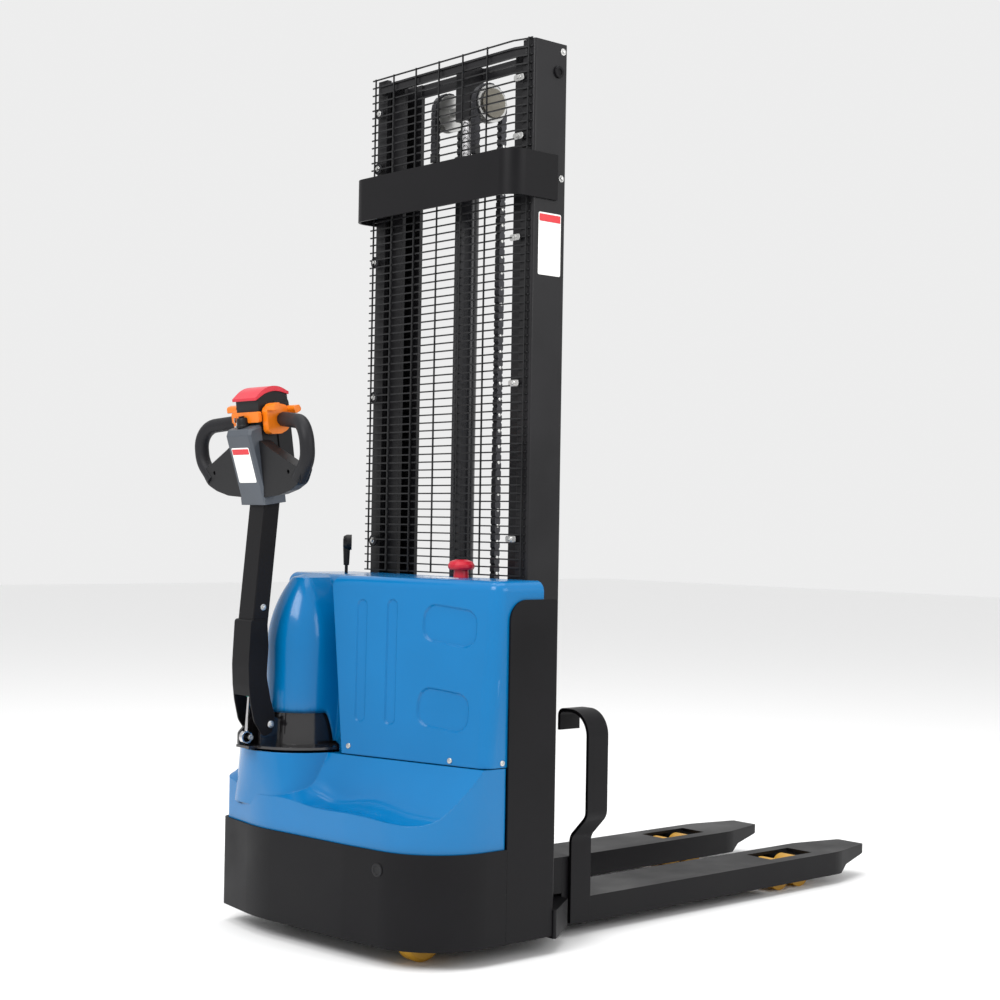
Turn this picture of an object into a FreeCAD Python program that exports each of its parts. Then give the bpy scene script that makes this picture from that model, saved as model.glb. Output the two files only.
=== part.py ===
# Pedestrian electric stacker: a power unit with an offset tiller, a two-stage
# mast with a central lift cylinder and roller chains, and a fork carriage that
# rides over two support legs. Millimetres, +Z up, +X towards the fork tips,
# +Y to the operator's left when walking ahead of the machine's forks.
#
# Shapes are drawn from the mast's front face (x = 0 there) and the floor
# (z = 0). save() moves them by SHIFT_X and SHIFT_Y, so that the origin of the
# exported parts is the bottom centre of the whole machine.
import FreeCAD, Part
import math
import os

os.makedirs("parts", exist_ok=True)
V = FreeCAD.Vector

# ---------------------------------------------------------------- driving sizes
TILLER_REACH = 455.85         # furthest point ahead of the mast, at the tiller
FORK_REACH = 1358.12          # furthest point behind the mast's front face
SHIFT_X = (TILLER_REACH - FORK_REACH) / 2.0
GRIP_SIDE = 449.69            # furthest point to the left, at the tiller's grip
FOOT_SIDE = 380.0             # furthest point to the right, at the foot gussets
SHIFT_Y = (FOOT_SIDE - GRIP_SIDE) / 2.0

# mast
MAST_HALF = 295.0             # outer face of the outer channels
MAST_DEPTH = 103.0
MAST_TOP = 2080.0
MAST_FOOT = 36.0
OUTER_WEB = 11.0
OUTER_LIP = 40.0
OUTER_EDGE = 6.0              # rolled corner radius
LIP_THICK = 13.0
RUN_GAP = 6.0                 # between the sliding stages
INNER_HALF = MAST_HALF - OUTER_WEB - RUN_GAP
INNER_WEB = 10.0
INNER_LIP = 70.0
INNER_THICK = 10.0
INNER_TOP = 2072.0
INNER_FOOT = 62.0
INNER_X0 = LIP_THICK + RUN_GAP
INNER_X1 = MAST_DEPTH - LIP_THICK - RUN_GAP

BAND_LOW = 1714.0             # the bare name band
BAND_HIGH = 1819.0

# lift cylinder and chains
CYL_X = 54.0
CYL_R = 29.0
CYL_TOP = 1852.0
ROD_R = 17.5
PULLEY_Y = 75.0
PULLEY_Z = 1972.0
PITCH_R = 42.0                # chain centre line round the pulley
CHAIN_W = 16.0
CHAIN_T = 17.0                # plate height, across the chain's run
CHAIN_WAIST = 11.0
CHAIN_PITCH = 19.05
ANCHOR_Z = 1868.0             # foot of the short chain falls
CARRIAGE_HOOK_Z = 446.0       # foot of the long chain falls

# forks and legs
FORK_TIP = 1360.0
FORK_OUT = 275.0
FORK_IN = 115.0
FORK_TOP = 88.0
FORK_LOW = 27.0
FORK_HEEL = 196.0
FORK_WALL = 8.0
LEG_Y = (FORK_OUT + FORK_IN) / 2.0
LEG_HALF = 56.0
LEG_LOW = 18.0
LEG_TOP = 68.0
ROLLER_R = 40.0
ROLLER_HALF = 34.0
ROLLER_X = (994.0, 1078.0)
ROLLER_PIN_R = 10.0

# power unit
SIDE_Y = 375.0
SIDE_FRONT = -120.0
SIDE_BACK = 22.0
SIDE_LOW = 42.0
SIDE_TOP = 798.0
PANEL = 5.0
SKIRT_TOP = 250.0
SEAM_Z = 430.0
HOOD_TOP = 839.0
HOOD_SIDE = SIDE_Y - 6.0
HOOD_WALL = 5.0
HOOD_ROUND = 24.0             # radius along the hood's top edges
FACE_DEPTH = 6.0              # depth of the pressed recesses

# drive, steering head and tiller
STEER_X = -256.0
STEER_Y = 212.0
HEAD_R = 147.0                # turntable plate
HEAD_Z = 434.0
DRUM_TOP = 557.0
TOWER_R = 88.0
TOWER_LOW = 565.0             # the hood's tower ends above the drum
TOWER_TURN = 660.0            # where its wall starts to close
TOWER_TOP = 830.0
TOWER_TOP_R = 30.0
DRIVE_R = 100.0
DRIVE_HALF = 35.0
TILLER_X = -373.0
TILLER_Z = 489.0
TILLER_LEAN = 5.5             # degrees towards the mast when upright
HOUSING_HALF = 35.0
HOUSING_WALL = 4.0
ARM_FRONT = -73.0             # the arm's faces, ahead of the pivot
ARM_REAR = -30.0
ARM_LOW = 214.0               # its ends above the pivot
ARM_TOP = 524.0
NECK_U = -52.0                # where the control head tilts from the arm's line
NECK_W = 510.0
HEAD_TILT = 14.0              # degrees forward
EYE_X = -409.0                # lower pin of the gas spring
EYE_Z = 458.0
EYE_PIN_R = 4.0
EYE_OFFSET = -6.8             # the eye sits round its pin with this much play
SPRING_TILT = 4.0             # degrees, the spring's lean inside the tiller

# caster
CASTER_X = -208.0
CASTER_Y = -235.0
CASTER_TRAIL = 38.0
CASTER_R = 60.0
CASTER_HALF = 20.0


# ---------------------------------------------------------------- shape helpers
def box(x0, x1, y0, y1, z0, z1):
    """A block between two corners."""
    return Part.makeBox(x1 - x0, y1 - y0, z1 - z0, V(x0, y0, z0))


def rod_y(x, z, radius, y0, y1):
    """A cylinder along Y."""
    return Part.makeCylinder(radius, y1 - y0, V(x, y0, z), V(0, 1, 0))


def rod_z(x, y, radius, z0, z1):
    """A cylinder along Z."""
    return Part.makeCylinder(radius, z1 - z0, V(x, y, z0), V(0, 0, 1))


def rounded_wire(points):
    """A closed wire in a plane through points (position, corner radius)."""
    edges = []
    starts = []
    ends = []
    count = len(points)
    for i in range(count):
        here, radius = points[i]
        back = (points[i - 1][0] - here).normalize()
        ahead = (points[(i + 1) % count][0] - here).normalize()
        if radius <= 0:
            starts.append(here)
            ends.append(here)
            edges.append(None)
            continue
        half = back.getAngle(ahead) / 2.0
        reach = radius / math.tan(half)
        a = here + back * reach
        b = here + ahead * reach
        centre = here + (back + ahead).normalize() * (radius / math.sin(half))
        middle = centre + (here - centre).normalize() * radius
        starts.append(a)
        ends.append(b)
        edges.append(Part.Arc(a, middle, b).toShape())
    path = []
    for i in range(count):
        if edges[i] is not None:
            path.append(edges[i])
        a = ends[i]
        b = starts[(i + 1) % count]
        if a.distanceToPoint(b) > 1e-6:
            path.append(Part.LineSegment(a, b).toShape())
    return Part.Wire(path)


def plan(points, z):
    """A rounded outline at height z from (x, y, radius) corners."""
    return rounded_wire([(V(x, y, z), r) for x, y, r in points])


def prism(points, z0, z1):
    """A rounded outline in plan, raised from z0 to z1."""
    return Part.Face(plan(points, z0)).extrude(V(0, 0, z1 - z0))


def side_prism(points, y0, y1):
    """A rounded outline of (x, z, radius) corners, extruded along Y."""
    wire = rounded_wire([(V(x, y0, z), r) for x, z, r in points])
    return Part.Face(wire).extrude(V(0, y1 - y0, 0))


def front_prism(points, x0, x1):
    """A rounded outline of (y, z, radius) corners, extruded along X."""
    wire = rounded_wire([(V(x0, y, z), r) for y, z, r in points])
    return Part.Face(wire).extrude(V(x1 - x0, 0, 0))


def mirror_y(shape):
    """The same shape on the other side of the machine."""
    return shape.mirror(V(0, 0, 0), V(0, 1, 0))


def fuse(shapes):
    """One solid from several that meet."""
    first = shapes[0]
    joined = first.fuse(shapes[1:]) if len(shapes) > 1 else first
    return joined.removeSplitter()


def save(name, shape):
    """Write one sub-part, moved to the machine's own origin."""
    moved = shape.copy()
    moved.translate(V(SHIFT_X, SHIFT_Y, 0))
    moved.exportStep("parts/" + name + ".step")
    solids = moved.Solids
    volume = sum(s.Volume for s in solids)
    print("%-24s %2d solid(s) %10.0f mm3 valid %s" % (name, len(solids), volume, moved.isValid()))


# ---------------------------------------------------------------- mast, fixed stage
def channel(x0, x1, half, web, lip, thick, edge, z0, z1):
    """A C channel on the +Y side, open towards the machine's middle, with rolled outer corners."""
    inside = half - lip
    section = [(x0, inside, 0), (x1, inside, 0), (x1, half, edge), (x0, half, edge)]
    room = box(x0 + thick, x1 - thick, inside - 1, half - web, z0 - 1, z1 + 1)
    return prism(section, z0, z1).cut(room)


def outer_channel(side):
    """A fixed mast upright."""
    upright = channel(0, MAST_DEPTH, MAST_HALF, OUTER_WEB, OUTER_LIP, LIP_THICK, OUTER_EDGE, MAST_FOOT,
                      MAST_TOP)
    return upright if side > 0 else mirror_y(upright)


def outer_beams():
    """Head bar, middle and foot cross members of the fixed stage."""
    inside = MAST_HALF - OUTER_LIP
    head = prism([(-9, 272, 0), (-9, -234, 0), (0, -268, 0), (0, -243, 0), (-3, -231, 0), (-3, 244, 0),
                  (0, 250, 0), (0, 272, 0)], 2043, 2067)
    middle = box(0, 10, -inside, inside, 640, 720)
    foot = box(0, 10, -inside, inside, MAST_FOOT, 220)
    seat = box(10.3, MAST_DEPTH - LIP_THICK - 0.3, -60, 60, MAST_FOOT, 56)
    cross = box(MAST_DEPTH - LIP_THICK, MAST_DEPTH, -inside, inside, MAST_FOOT, 56)
    return [head, middle, foot, seat, cross]


def name_band():
    """The wide bare plate bent round the front of the mast."""
    z0, z1 = BAND_LOW, BAND_HIGH
    reach = -72.0
    back = 72.0
    y = MAST_HALF + 6.0
    outer = prism([(back, -y, 0), (reach, -y, 44), (reach, y, 44), (back, y, 0)], z0, z1)
    inner = prism([(back + 1, -y + 6, 0), (reach + 6, -y + 6, 38), (reach + 6, y - 6, 38),
                   (back + 1, y - 6, 0)],
                  z0 - 1, z1 + 1)
    return outer.cut(inner)


def mesh_guard():
    """Guard in front of the mast: flat cross wires on uprights, and their short returns to the right."""
    wire = 3.2
    x0 = -13.2                  # front face of the cross wires
    z0 = HOOD_TOP + 6
    z1 = 2083.0
    pitch = 19.0
    bend = -234.0
    spacing = 88.8
    stub = bend + 3.2
    flat = stub + 0.3
    side = [(x0, bend, 0), (-3.4, -270, 0), (-3.4, -288, 0), (-0.2, -288, 0), (-0.2, -269, 0),
            (x0 + wire, bend + 1.5, 0), (x0 + wire, stub, 0), (x0, stub, 0)]
    bars = []
    returns = []
    count = int((z1 - z0) / pitch)
    for i in range(count + 1):
        z = z1 - wire - i * pitch
        behind_band = BAND_LOW - 4 < z < BAND_HIGH + 4
        left = MAST_HALF - 2 if behind_band else MAST_HALF + 4
        bars.append(box(x0, x0 + wire, flat, left, z, z + wire))
        returns.append(prism(side, z, z + wire))
    low = bars[-1].BoundBox.ZMin
    for k in range(1, 6):
        y = bend + spacing * k
        welded = k in (1, 5)
        front = x0 - wire
        if welded:
            bars.append(box(front, x0, y - wire / 2, y + wire / 2, low, z1))
        else:
            bars.append(box(front - 0.2, x0 - 0.2, y - wire / 2, y + wire / 2, low, z1))
            bars.append(box(x0 - 0.2, x0, y - wire / 2, y + wire / 2, low, low + wire))
            bars.append(box(x0 - 0.2, x0, y - wire / 2, y + wire / 2, z1 - wire, z1))
    y = MAST_HALF - 12
    bars.append(box(x0 - wire, x0, y - wire / 2, y + wire / 2, low, z1))
    returns.append(box(-3.4 - wire, -3.4, -279 - wire / 2, -279 + wire / 2, low, z1))
    return [fuse(bars), fuse(returns)]


# ---------------------------------------------------------------- lift cylinder, chains
def lift_cylinder():
    """Cylinder tube on its seat, with gland, chain anchor plate and anchor bolts."""
    tube = rod_z(CYL_X, 0, CYL_R, 56, CYL_TOP)
    gland = rod_z(CYL_X, 0, CYL_R + 4, CYL_TOP - 60, CYL_TOP)
    bore = rod_z(CYL_X, 0, ROD_R + 0.05, 120, CYL_TOP + 1)
    x = CYL_X - PITCH_R
    plate = prism([(x - 12, -PULLEY_Y - 14, 0), (x + 14, -PULLEY_Y - 14, 6), (CYL_X + 34, -30, 12),
                   (CYL_X + 34, 30, 12), (x + 14, PULLEY_Y + 14, 6), (x - 12, PULLEY_Y + 14, 0)],
                  CYL_TOP - 42, CYL_TOP - 30)
    bolts = []
    for y in (-PULLEY_Y, PULLEY_Y):
        bolts.append(rod_z(x, y, 5, CYL_TOP - 66, ANCHOR_Z - 8))
        bolts.append(hex_nut(x, y, 9, CYL_TOP - 54, CYL_TOP - 42))
        bolts.append(box(x - 8, x + 8, y - 9, y + 9, ANCHOR_Z - 22, ANCHOR_Z))
    return fuse([tube, gland, plate] + bolts).cut(bore)


def hex_nut(x, y, reach, z0, z1):
    """A hexagonal nut or bolt head along Z."""
    corners = [(x + reach * math.cos(math.pi * k / 3), y + reach * math.sin(math.pi * k / 3),
                0) for k in range(6)]
    return prism(corners, z0, z1)


def chain_side(count, sign):
    """One edge of the link plates: flats at the pins, waists between them, as (along, across)."""
    edge = []
    flat = 0.29 * CHAIN_PITCH
    for i in range(count):
        at = i * CHAIN_PITCH
        edge.append((at + CHAIN_PITCH / 2 - flat, sign * CHAIN_T / 2))
        edge.append((at + CHAIN_PITCH / 2 + flat, sign * CHAIN_T / 2))
        if i < count - 1:
            edge.append((at + CHAIN_PITCH, sign * CHAIN_WAIST / 2))
    return edge


def chain_fall(x, y, z0, z1):
    """One straight run of leaf chain, in the outline of its link plates, hung from z1."""
    count = int((z1 - z0) / CHAIN_PITCH)
    near = chain_side(count, 1)
    far = chain_side(count, -1)
    outline = [(0, CHAIN_WAIST / 2)] + near + [(z1 - z0, CHAIN_WAIST / 2), (z1 - z0, -CHAIN_WAIST / 2)]
    outline += list(reversed(far)) + [(0, -CHAIN_WAIST / 2)]
    return side_prism([(x + across, z1 - along, 0) for along, across in outline], y - CHAIN_W / 2,
                      y + CHAIN_W / 2)


def anchor_falls():
    """The short falls from the anchor plate up to the pulleys."""
    x = CYL_X - PITCH_R
    return [chain_fall(x, y, ANCHOR_Z, PULLEY_Z) for y in (-PULLEY_Y, PULLEY_Y)]


def carriage_falls():
    """The long falls from the pulleys down to the carriage."""
    x = CYL_X + PITCH_R
    return [chain_fall(x, y, CARRIAGE_HOOK_Z + 0.5, PULLEY_Z) for y in (-PULLEY_Y, PULLEY_Y)]


def chain_wraps():
    """The half turn of chain over each pulley, link by link."""
    wraps = []
    links = 7
    step = math.pi / links
    outer = []
    inner = []
    for i in range(links):
        middle = math.pi - (i + 0.5) * step
        for turn in (0.29, -0.29):
            outer.append((PITCH_R + CHAIN_T / 2, middle + turn * step))
        inner.append((PITCH_R - CHAIN_T / 2, middle))
        if i < links - 1:
            outer.append((PITCH_R + CHAIN_WAIST / 2, middle - 0.5 * step))
    ends = [(PITCH_R - CHAIN_WAIST / 2, math.pi), (PITCH_R + CHAIN_WAIST / 2, math.pi)]
    last = [(PITCH_R + CHAIN_WAIST / 2, 0.0), (PITCH_R - CHAIN_WAIST / 2, 0.0)]
    ring = ends + outer + last + list(reversed(inner))
    outline = [(CYL_X + r * math.cos(a), PULLEY_Z + r * math.sin(a), 0) for r, a in ring]
    for y in (-PULLEY_Y, PULLEY_Y):
        wraps.append(side_prism(outline, y - CHAIN_W / 2, y + CHAIN_W / 2))
    return wraps


def chain_pulleys():
    """Two flanged pulleys with raised hubs on one axle through the crosshead."""
    groove_r = PITCH_R - CHAIN_T / 2 - 1.2
    flange_r = PITCH_R + 3
    side = CHAIN_W / 2 + 1
    section = [(0, -side - 4), (flange_r, -side - 4), (flange_r, -side), (groove_r, -side),
               (groove_r, side),
               (flange_r, side), (flange_r, side + 4), (24, side + 4), (20, side + 10), (0, side + 10)]
    wheel = Part.Face(Part.makePolygon([V(CYL_X + r, PULLEY_Y + w, PULLEY_Z) for r,
                                        w in section + [section[0]]]))
    wheel = wheel.revolve(V(CYL_X, PULLEY_Y, PULLEY_Z), V(0, 1, 0), 360)
    axle = rod_y(CYL_X, PULLEY_Z, 11, -PULLEY_Y, PULLEY_Y)
    return fuse([wheel, mirror_y(wheel), axle])


# ---------------------------------------------------------------- mast, sliding stage
def inner_channel(side):
    """A sliding mast upright, nested in the fixed one."""
    upright = channel(INNER_X0, INNER_X1, INNER_HALF, INNER_WEB, INNER_LIP, INNER_THICK, 4.0,
                      INNER_FOOT, INNER_TOP)
    return upright if side > 0 else mirror_y(upright)


def inner_ties():
    """Top tie plate with the crosshead that carries the pulley axle, and the foot tie."""
    inside = INNER_HALF - INNER_LIP
    top = box(INNER_X1 - 6, INNER_X1, -inside, inside, INNER_TOP - 32, INNER_TOP)
    neck = box(CYL_X - 20, INNER_X1 - 6, -26, 26, PULLEY_Z - 30, INNER_TOP)
    bore = rod_y(CYL_X, PULLEY_Z, 11.05, -40, 40)
    head = fuse([top, neck]).cut(bore)
    lap = inside + 32
    foot = box(INNER_X1 + 4, INNER_X1 + 10, -lap, lap, INNER_FOOT, INNER_FOOT + 46)
    lugs = [box(INNER_X1, INNER_X1 + 4, s * (inside + 16) - 16, s * (inside + 16) + 16, INNER_FOOT,
                INNER_FOOT + 46) for s in (-1, 1)]
    return [head, fuse([foot] + lugs)]


def lift_rod():
    """The piston rod, pushed up into the crosshead."""
    return rod_z(CYL_X, 0, ROD_R, 140, PULLEY_Z - 30)


# ---------------------------------------------------------------- fork carriage
def carriage():
    """Side plates with rollers in the inner stage, two cross bars, chain hooks."""
    inside = INNER_HALF - INNER_LIP - 12
    x0 = MAST_DEPTH + 12
    mid = (INNER_X0 + INNER_X1) / 2
    groups = []
    for side in (-1, 1):
        plate = side_prism([(mid - 18, 120, 10), (x0 + 30, 120, 0), (x0 + 30, 520, 10),
                            (mid - 18, 520, 10)],
                           inside - 14, inside)
        pins = [rod_y(mid, z, 12, inside - 2, inside + 14) for z in (160, 470)]
        rollers = [rod_y(mid, z, 20, inside + 14, inside + 40) for z in (160, 470)]
        group = fuse([plate] + pins + rollers)
        groups.append(group if side > 0 else mirror_y(group))
    lower = box(x0, x0 + 30, -FORK_OUT, FORK_OUT, 106, 190)
    upper = box(x0, x0 + 30, -240, 240, 440, 510)
    uprights = [box(x0, x0 + 30, s * LEG_Y - 30, s * LEG_Y + 30, 190, 440) for s in (-1, 1)]
    hooks = []
    for y in (-PULLEY_Y, PULLEY_Y):
        x = CYL_X + PITCH_R
        hooks.append(box(x - 7, x0, y - 9, y + 9, CARRIAGE_HOOK_Z - 14, CARRIAGE_HOOK_Z))
    return fuse(groups + [lower, upper] + uprights + hooks)


def fork(side):
    """A pressed fork: an upturned channel with a rounded, dropped tip and a roller window."""
    x0 = MAST_DEPTH + 42
    w = FORK_WALL
    profile = [(x0, FORK_LOW, 0), (1204, FORK_LOW, 8), (1234, 47, 12), (1348, 64, 4), (FORK_TIP, 77, 4),
               (1346, FORK_TOP, 10), (x0, FORK_TOP, 0)]
    solid = side_prism(profile, FORK_IN, FORK_OUT)
    tip = 40.0
    taper = prism([(x0 - 1, FORK_IN, 0), (1190, FORK_IN, 150), (FORK_TIP + 0.5, FORK_IN + tip, 38),
                   (FORK_TIP + 0.5, FORK_OUT - tip, 38), (1190, FORK_OUT, 150), (x0 - 1, FORK_OUT,
                                                                                 0)], 0, 120)
    solid = solid.common(taper)
    a, b = FORK_IN + w, FORK_OUT - w
    room = prism([(x0 - 1, a, 0), (1180, a, 150), (1232, a + 12, 0), (1232, b - 12, 0), (1180, b, 150),
                  (x0 - 1, b, 0)], 0, FORK_TOP - w)
    window = box(946, 1118, LEG_Y - 42, LEG_Y + 42, FORK_TOP - 30, FORK_TOP + 5)
    heel = side_prism([(x0, FORK_TOP - 0.5, 0), (FORK_HEEL + 14, FORK_TOP - 0.5, 0),
                       (FORK_HEEL - 18, 190, 8), (x0, 190, 0)],
                      FORK_IN, FORK_OUT)
    whole = fuse([solid.cut(room).cut(window), heel])
    return whole if side > 0 else mirror_y(whole)


def side_guard(side):
    """A flat bar that rises beside the fork heel, steps out and bends in to the carriage."""
    x0, x1 = 165.0, 229.0
    t = 8.0
    path = [(281, 34, 0), (281, 236, 30), (333, 288, 30), (333, 530, 56), (236, 530, 14), (236, 482, 0)]
    pts = [V(x0, y, z) for y, z, r in path]
    # offset the centre line both ways, keeping the corner radii concentric
    def offset(d):
        out = []
        for i, p in enumerate(pts):
            r = path[i][2]
            if i == 0:
                u = (pts[1] - p).normalize()
                n = V(0, -u.z, u.y)
                out.append((p + n * d, 0))
            elif i == len(pts) - 1:
                u = (p - pts[i - 1]).normalize()
                n = V(0, -u.z, u.y)
                out.append((p + n * d, 0))
            else:
                a = (p - pts[i - 1]).normalize()
                b = (pts[i + 1] - p).normalize()
                na = V(0, -a.z, a.y)
                nb = V(0, -b.z, b.y)
                m = (na + nb)
                m = m * (1.0 / m.Length)
                k = d / max(m.dot(na), 0.2)
                turn = a.cross(b).x
                rr = r - d if turn > 0 else r + d
                out.append((p + m * k, max(rr, 1.0)))
        return out
    ring = offset(t / 2) + list(reversed(offset(-t / 2)))
    bar = Part.Face(rounded_wire(ring)).extrude(V(x1 - x0, 0, 0))
    return bar if side > 0 else mirror_y(bar)


# ---------------------------------------------------------------- legs
def leg_base():
    """The foot frame under the mast, flared out to the side panels."""
    inner = LEG_Y + LEG_HALF
    half = [(SIDE_BACK + 0.5, 380, 4), (SIDE_BACK + 8, 380, 3), (138, 304, 10), (138, inner, 0),
            (MAST_DEPTH, inner, 0), (MAST_DEPTH, MAST_HALF, 0), (SIDE_BACK + 0.5, MAST_HALF, 0)]
    gusset = prism(half, 36, 100)
    return [gusset, mirror_y(gusset)]


def leg(side):
    """A support leg with two roller forks at its end."""
    x0 = MAST_DEPTH
    body = side_prism([(x0, LEG_LOW + 10, 0), (930, LEG_LOW + 10, 0), (930, LEG_TOP, 0),
                       (x0, LEG_TOP, 0)],
                      LEG_Y - LEG_HALF, LEG_Y + LEG_HALF)
    room = box(x0 + 12, 922, LEG_Y - LEG_HALF + 6, LEG_Y + LEG_HALF - 6, 0, LEG_TOP - 6)
    body = body.cut(room)
    cheek = [(900, LEG_LOW + 6, 6), (1128, LEG_LOW + 6, 14), (1128, 62, 14), (900, LEG_TOP, 4)]
    pieces = [body]
    for y in (LEG_Y - LEG_HALF, LEG_Y + LEG_HALF - 12):
        pieces.append(side_prism(cheek, y, y + 12))
    for x in ROLLER_X:
        pieces.append(rod_y(x, ROLLER_R, ROLLER_PIN_R, LEG_Y - LEG_HALF + 2, LEG_Y + LEG_HALF - 2))
    whole = fuse(pieces)
    return whole if side > 0 else mirror_y(whole)


def wheel_y(x, y, z, radius, half, bore, edge):
    """A wheel about an axle along Y, with chamfered tread edges and its bore."""
    points = [(bore, -half), (radius - edge, -half), (radius, edge - half), (radius, half - edge),
              (radius - edge, half),
              (bore, half)]
    if edge == 0:
        points = [(bore, -half), (radius, -half), (radius, half), (bore, half)]
    section = [V(x + r, y + w, z) for r, w in points + [points[0]]]
    return Part.Face(Part.makePolygon(section)).revolve(V(x, y, z), V(0, 1, 0), 360)


# ---------------------------------------------------------------- power unit
SKIRT_PLAN = [(SIDE_FRONT + 2, SIDE_Y, 0), (-372, SIDE_Y, 26), (-397, 190, 420), (-369, -110, 300),
              (-332, -SIDE_Y, 178), (SIDE_FRONT + 2, -SIDE_Y, 0)]


def skirt():
    """The steel apron round the front of the chassis."""
    outer = prism(SKIRT_PLAN, SIDE_LOW, SKIRT_TOP)
    face = Part.Face(plan(SKIRT_PLAN, SIDE_LOW - 1))
    inner = face.makeOffset2D(-PANEL)
    hollow = inner.extrude(V(0, 0, SKIRT_TOP - SIDE_LOW + 2))
    hollow = fuse([hollow, box(SIDE_FRONT - 8, SIDE_FRONT + 6, -SIDE_Y + PANEL, SIDE_Y - PANEL,
                               SIDE_LOW - 1, SKIRT_TOP + 1)])
    return outer.cut(hollow)


def side_panel(side):
    """Steel side plate with a rounded top front corner."""
    outline = [(SIDE_FRONT + 2.5, SIDE_LOW, 0), (SIDE_BACK, SIDE_LOW, 6), (SIDE_BACK, SIDE_TOP, 6),
               (SIDE_FRONT + 2.5, SIDE_TOP, 48)]
    plate = side_prism(outline, SIDE_Y - PANEL, SIDE_Y)
    flange = box(SIDE_BACK - PANEL, SIDE_BACK, MAST_HALF + 0.5, SIDE_Y - PANEL, SIDE_LOW + 60,
                 SIDE_TOP - 10)
    panel = fuse([plate, flange])
    return panel if side > 0 else mirror_y(panel)


def chassis_frame():
    """The plate that carries drive and caster, the battery tray and the bulkhead."""
    z = 212.0
    drive_plate = prism([(SIDE_FRONT, SIDE_Y - PANEL - 0.5, 0), (-340, SIDE_Y - PANEL - 0.5, 10),
                         (-366, 180, 200),
                         (-340, -180, 60), (-250, -340, 60), (SIDE_FRONT, -SIDE_Y + PANEL + 0.5,
                                                              0)], z, z + 10)
    bore = rod_z(STEER_X, STEER_Y, 98, z - 1, z + 11)
    drive_plate = drive_plate.cut(bore)
    floor = box(SIDE_FRONT, -6, -SIDE_Y + PANEL + 0.5, SIDE_Y - PANEL - 0.5, z, z + 10)
    bulkhead = box(-12, -6, -SIDE_Y + PANEL + 0.5, SIDE_Y - PANEL - 0.5, 60, 640)
    post = rod_z(CASTER_X, CASTER_Y, 36, 150, z)
    hole = rod_z(CASTER_X, CASTER_Y, 12.05, 140, z + 20)
    return fuse([drive_plate, floor, bulkhead, post]).cut(hole)


LOWER_PLAN = [(SIDE_FRONT, HOOD_SIDE, 0), (-366, HOOD_SIDE, 26), (-391, 190, 420), (-363, -110, 300),
              (-326, -HOOD_SIDE, 176), (SIDE_FRONT, -HOOD_SIDE, 0)]
# sections across the dish of the lower cover: y, then its outer end, its lowest corner with the
# corner's radius, and the foot of the hood above it, as (x, z)
DISH = [(400, (-420, 322), (-346, 330), 40, -292), (250, (-412, 320), (-346, 334), 40, -292),
        (130, (-404, 317), (-346, 350), 60, -292), (72, (-398, 318), (-324, 350), 60, -282),
        (0, (-392, 319), (-304, 318), 42, -269), (-128, (-382, 320), (-298, 316), 60, -238),
        (-245, (-368, 314), (-300, 308), 70, -209), (-320, (-362, 312), (-296, 305), 75, -191),
        (-400, (-362, 312), (-282, 303), 75, -171)]


def face_x(y, z):
    """The hood's slanted front face."""
    return -277.0 + (38.0 - y) * 0.243 + (z - SEAM_Z) * 0.075


def dish_tool(dx, dz):
    """The room above the dish of the lower cover, moved by dx and dz."""
    sections = []
    lid = 470.0
    for y, end, corner, radius, foot in DISH:
        a = V(end[0] + dx, y, end[1] + dz)
        b = V(corner[0] + dx, y, corner[1] + dz)
        c = V(foot + dx, y, 432 + dz)
        sections.append(rounded_wire([(a, 0), (b, radius), (c, 0), (V(c.x, y, lid), 0),
                                      (V(a.x, y, lid), 0)]))
    return Part.makeLoft(sections, True, False)


def pedestal_ring(radius, front, z):
    """The pedestal's outline at height z: round, but flattened where it meets the front face."""
    points = []
    for k in range(16):
        turn = 2 * math.pi * k / 16
        points.append(V(max(STEER_X - radius * math.cos(turn), front),
                        STEER_Y + radius * math.sin(turn), z))
    curve = Part.BSplineCurve()
    curve.interpolate(points, PeriodicFlag=True)
    return Part.Wire([curve.toShape()])


def pedestal(t):
    """The block under the turntable, pared down by t, flush with the cover's front face."""
    top = HEAD_Z - 6
    low = 296.0 - t
    rings = [pedestal_ring(HEAD_R + 13 - t, -384 + t, low), pedestal_ring(HEAD_R - 1 - t, -420, top)]
    return Part.makeLoft(rings, True, True)


def hood_lower():
    """The moulded cover over the drive: a dished shell with the steering pedestal."""
    low = SKIRT_TOP - 4
    t = HOOD_WALL
    outer = prism(LOWER_PLAN, low, SEAM_Z - 2).cut(dish_tool(0, 0))
    bound = box(-600, SIDE_FRONT, -HOOD_SIDE, HOOD_SIDE, 200, 500)
    outer = fuse([outer, pedestal(0)]).common(bound)
    inset = Part.Face(plan(LOWER_PLAN, low - 1)).makeOffset2D(-t)
    room = inset.extrude(V(0, 0, SEAM_Z - 2 - t - low + 1)).cut(dish_tool(t + 2, -t))
    under = pedestal(t).common(box(-600, SIDE_FRONT, -HOOD_SIDE + t, HOOD_SIDE - t, 200, 500))
    back = box(SIDE_FRONT - t - 1, SIDE_FRONT + 1, -HOOD_SIDE + t, HOOD_SIDE - t, low - 1, SEAM_Z)
    behind = prism([(SIDE_FRONT + 1, 46, 0), (-236, 46, 0), (-160, -HOOD_SIDE + t + 12, 20),
                    (SIDE_FRONT + 1, -HOOD_SIDE + t + 12, 0)],
                   380, SEAM_Z)
    bore = rod_z(STEER_X, STEER_Y, 100, 200, 500)
    return outer.cut(fuse([room, under, back])).cut(behind).cut(bore)


def top_rounded(body, keep):
    """Round the top edges of a hood body that pass the test keep."""
    edges = [e for e in body.Edges if e.BoundBox.ZMin > HOOD_TOP - 0.1 and keep(e.BoundBox)]
    return body.makeFillet(HOOD_ROUND, edges)


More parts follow.
